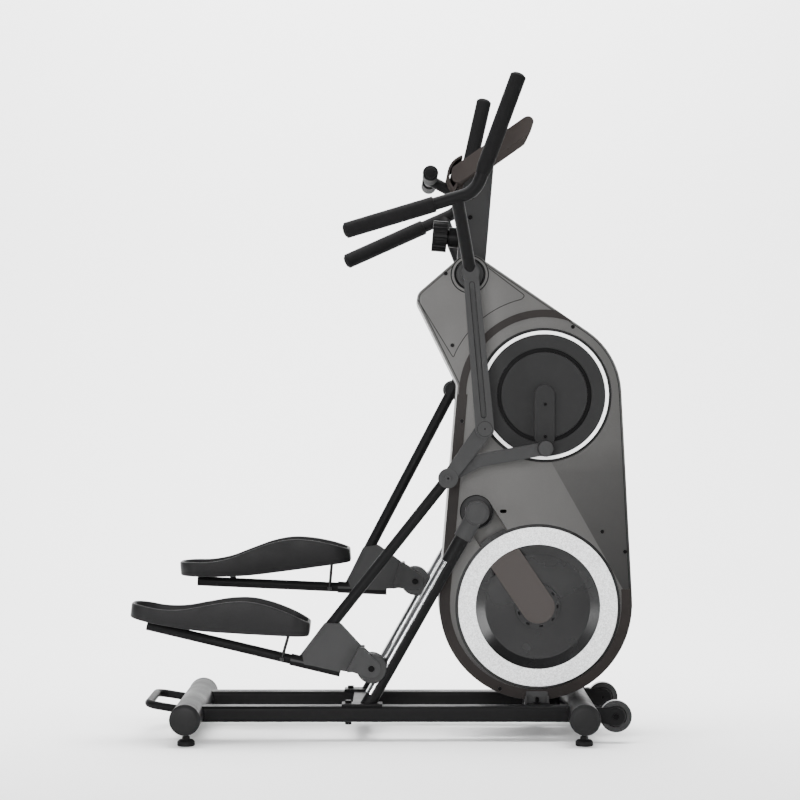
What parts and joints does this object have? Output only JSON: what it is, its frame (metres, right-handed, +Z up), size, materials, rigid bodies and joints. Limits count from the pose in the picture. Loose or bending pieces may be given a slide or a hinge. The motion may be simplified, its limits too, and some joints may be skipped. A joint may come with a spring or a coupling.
{
  "type": "elliptical trainer",
  "caption": "Tower elliptical trainer with a high front crank, pedal arms rolling on inclined rails, and moving handles linked to the arms.",
  "frame": {"origin": "on the floor under the middle of the machine's bounding box", "axes": "+X forwards, the way the user faces; +Y to the user's left; +Z up"},
  "size_m": [1.2681, 0.6598, 1.6788],
  "materials": {
    "black_steel": "satin black powder coat",
    "grey_steel": "satin dark grey powder coat",
    "frame_steel": "flat black primer",
    "bright_steel": "ground steel",
    "fastener_black": "black oxide",
    "cap_plastic": "fine grained",
    "foot_rubber": "matt",
    "wheel_plastic": "satin moulded",
    "shell_grey": "metallic grey, satin",
    "trim_taupe": "dark taupe satin",
    "crank_plastic": "dark grey satin",
    "ring_white": "gloss white",
    "ring_silver": "speckled silver",
    "bar_taupe": "taupe satin",
    "wheel_iron": "turned",
    "magnet_steel": "zinc plated",
    "belt_rubber": "ribbed",
    "foam_black": "fine cell foam",
    "pedal_plastic": "textured moulding",
    "knob_plastic": "satin",
    "console_taupe": "taupe grey satin",
    "display_black": "gloss black",
    "key_grey": "soft touch"
  },
  "bodies": {
    "frame": {"rear_stabiliser": "black_steel", "front_stabiliser": "black_steel", "stabiliser_caps": "cap_plastic", "right_base_rail": "black_steel", "left_base_rail": "black_steel", "cross_members": "black_steel", "lifting_loop": "black_steel", "right_roller_rail": "black_steel", "left_roller_rail": "black_steel", "rail_strips": "bright_steel", "rail_knuckles": "grey_steel", "tower_frame": "frame_steel", "right_housing": "shell_grey", "left_housing": "shell_grey", "trim_bands": "trim_taupe", "fasteners": "fastener_black", "pivot_shaft": "bright_steel", "mast": "grey_steel", "handlebar": "black_steel", "handlebar_grips": "foam_black", "console_tray": "console_taupe", "tablet_ledge": "console_taupe", "display_window": "display_black", "bearings": "bright_steel", "drive_belt": "belt_rubber", "brake_motor": "cap_plastic"},
    "crankset": {"crank_axle": "bright_steel", "drive_pulley": "crank_plastic", "crank_discs": "crank_plastic", "crank_rings": "ring_white", "crank_arms": "crank_plastic"},
    "flywheel_set": {"flywheel": "wheel_iron", "wheel_discs": "crank_plastic", "silver_rings": "ring_silver", "hub_bars": "bar_taupe"},
    "idler_wheel": {"idler": "wheel_plastic"},
    "brake_arm": {"magnet_bracket": "magnet_steel"},
    "right_castor": {"right_transport_wheel": "wheel_plastic"},
    "left_castor": {"left_transport_wheel": "wheel_plastic"},
    "right_rear_leveller": {"right_rear_foot": "foot_rubber"},
    "left_rear_leveller": {"left_rear_foot": "foot_rubber"},
    "right_front_leveller": {"right_front_foot": "foot_rubber"},
    "left_front_leveller": {"left_front_foot": "foot_rubber"},
    "knob": {"clamp_knob": "knob_plastic"},
    "start_key": {"start_button": "key_grey"},
    "rocker_key": {"adjust_rocker": "key_grey"},
    "right_carrier": {"right_roller_axle": "fastener_black"},
    "right_wheel": {"right_roller": "wheel_plastic"},
    "right_arm": {"right_pedal_arm": "black_steel", "right_pedal": "pedal_plastic"},
    "right_handle": {"right_lever": "grey_steel", "right_grips": "foam_black"},
    "right_link_bar": {"right_link": "grey_steel"},
    "left_carrier": {"left_roller_axle": "fastener_black"},
    "left_wheel": {"left_roller": "wheel_plastic"},
    "left_arm": {"left_pedal_arm": "black_steel", "left_pedal": "pedal_plastic"},
    "left_handle": {"left_lever": "grey_steel", "left_grips": "foam_black"},
    "left_link_bar": {"left_link": "grey_steel"}
  },
  "joints": [
    {"name": "crank_turn", "type": "hinge", "parent": "frame", "child": "crankset", "pos_m": [0.411, 0, 0.872], "axis": [0, -1, 0], "range_deg": [0, 180]},
    {"name": "right_climb", "type": "slide", "parent": "frame", "child": "right_carrier", "axis": [0.4939, 0, 0.8695], "range_m": [0, 0.22606]},
    {"name": "right_arm_swing", "type": "hinge", "parent": "right_carrier", "child": "right_arm", "pos_m": [-0.02847, -0.16, 0.18397], "axis": [0, -1, 0], "range_deg": [0, 10.82]},
    {"name": "right_roller_spin", "type": "hinge", "parent": "right_carrier", "child": "right_wheel", "pos_m": [-0.02847, -0.16, 0.18397], "axis": [0, -1, 0], "continuous": true},
    {"name": "right_lever_swing", "type": "hinge", "parent": "frame", "child": "right_handle", "pos_m": [0.2212, -0.2, 1.1799], "axis": [0, -1, 0], "range_deg": [0, 7.51]},
    {"name": "right_link_swing", "type": "hinge", "parent": "right_handle", "child": "right_link_bar", "pos_m": [0.25646, -0.185, 0.78678], "axis": [0, -1, 0], "range_deg": [-97.32, 0]},
    {"name": "left_climb", "type": "slide", "parent": "frame", "child": "left_carrier", "axis": [0.4939, 0, 0.8695], "range_m": [-0.22606, 0]},
    {"name": "left_arm_swing", "type": "hinge", "parent": "left_carrier", "child": "left_arm", "pos_m": [0.08319, 0.16, 0.38053], "axis": [0, -1, 0], "range_deg": [-10.82, 0]},
    {"name": "left_roller_spin", "type": "hinge", "parent": "left_carrier", "child": "left_wheel", "pos_m": [0.08319, 0.16, 0.38053], "axis": [0, -1, 0], "continuous": true},
    {"name": "left_lever_swing", "type": "hinge", "parent": "frame", "child": "left_handle", "pos_m": [0.2212, 0.2, 1.1799], "axis": [0, -1, 0], "range_deg": [-7.51, 0]},
    {"name": "left_link_swing", "type": "hinge", "parent": "left_handle", "child": "left_link_bar", "pos_m": [0.30755, 0.185, 0.79476], "axis": [0, -1, 0], "range_deg": [0, 97.32]},
    {"name": "flywheel_spin", "type": "hinge", "parent": "frame", "child": "flywheel_set", "pos_m": [0.3948, 0, 0.3328], "axis": [0, -1, 0], "continuous": true},
    {"name": "idler_spin", "type": "hinge", "parent": "frame", "child": "idler_wheel", "pos_m": [0.3284, 0.03, 0.56], "axis": [0, -1, 0], "continuous": true},
    {"name": "brake_tilt", "type": "hinge", "parent": "frame", "child": "brake_arm", "pos_m": [0.37891, 0, 0.48397], "axis": [0, 1, 0], "range_deg": [0, 5]},
    {"name": "right_transport_spin", "type": "hinge", "parent": "frame", "child": "right_castor", "pos_m": [0.5844, -0.203, 0.067], "axis": [0, 1, 0], "continuous": true},
    {"name": "left_transport_spin", "type": "hinge", "parent": "frame", "child": "left_castor", "pos_m": [0.5844, 0.203, 0.067], "axis": [0, 1, 0], "continuous": true},
    {"name": "right_rear_foot_turn", "type": "hinge", "parent": "frame", "child": "right_rear_leveller", "pos_m": [-0.4886, -0.26, 0], "axis": [0, 0, 1], "range_deg": [0, 360]},
    {"name": "left_rear_foot_turn", "type": "hinge", "parent": "frame", "child": "left_rear_leveller", "pos_m": [-0.4886, 0.26, 0], "axis": [0, 0, 1], "range_deg": [0, 360]},
    {"name": "right_front_foot_turn", "type": "hinge", "parent": "frame", "child": "right_front_leveller", "pos_m": [0.5014, -0.26, 0], "axis": [0, 0, 1], "range_deg": [0, 360]},
    {"name": "left_front_foot_turn", "type": "hinge", "parent": "frame", "child": "left_front_leveller", "pos_m": [0.5014, 0.26, 0], "axis": [0, 0, 1], "range_deg": [0, 360]},
    {"name": "knob_turn", "type": "hinge", "parent": "frame", "child": "knob", "pos_m": [0.1274, 0, 1.285], "axis": [0.9962, 0, -0.0872], "range_deg": [0, 360]},
    {"name": "start_press", "type": "slide", "parent": "frame", "child": "start_key", "axis": [0.5736, 0, -0.8192], "range_m": [0, 0.0025], "stiffness_N_per_m": 400},
    {"name": "rocker_tilt", "type": "hinge", "parent": "frame", "child": "rocker_key", "pos_m": [0.32144, 0.045, 1.55025], "axis": [0.8192, 0, 0.5736], "range_deg": [-6, 6], "stiffness_Nm_per_rad": 0.3}
  ],
  "couplings": [
    {"joint": "right_climb", "follows": "crank_turn", "m_per_rad": 0.071959},
    {"joint": "right_arm_swing", "follows": "crank_turn", "ratio": 0.060089},
    {"joint": "right_roller_spin", "follows": "crank_turn", "ratio": -4.1595},
    {"joint": "right_lever_swing", "follows": "crank_turn", "ratio": 0.041736},
    {"joint": "right_link_swing", "follows": "crank_turn", "ratio": -0.54068},
    {"joint": "left_climb", "follows": "crank_turn", "m_per_rad": -0.071959},
    {"joint": "left_arm_swing", "follows": "crank_turn", "ratio": -0.060089},
    {"joint": "left_roller_spin", "follows": "crank_turn", "ratio": 4.1595},
    {"joint": "left_lever_swing", "follows": "crank_turn", "ratio": -0.041736},
    {"joint": "left_link_swing", "follows": "crank_turn", "ratio": 0.54068},
    {"joint": "flywheel_spin", "follows": "crank_turn", "ratio": 5},
    {"joint": "idler_spin", "follows": "crank_turn", "ratio": -6.5}
  ]
}
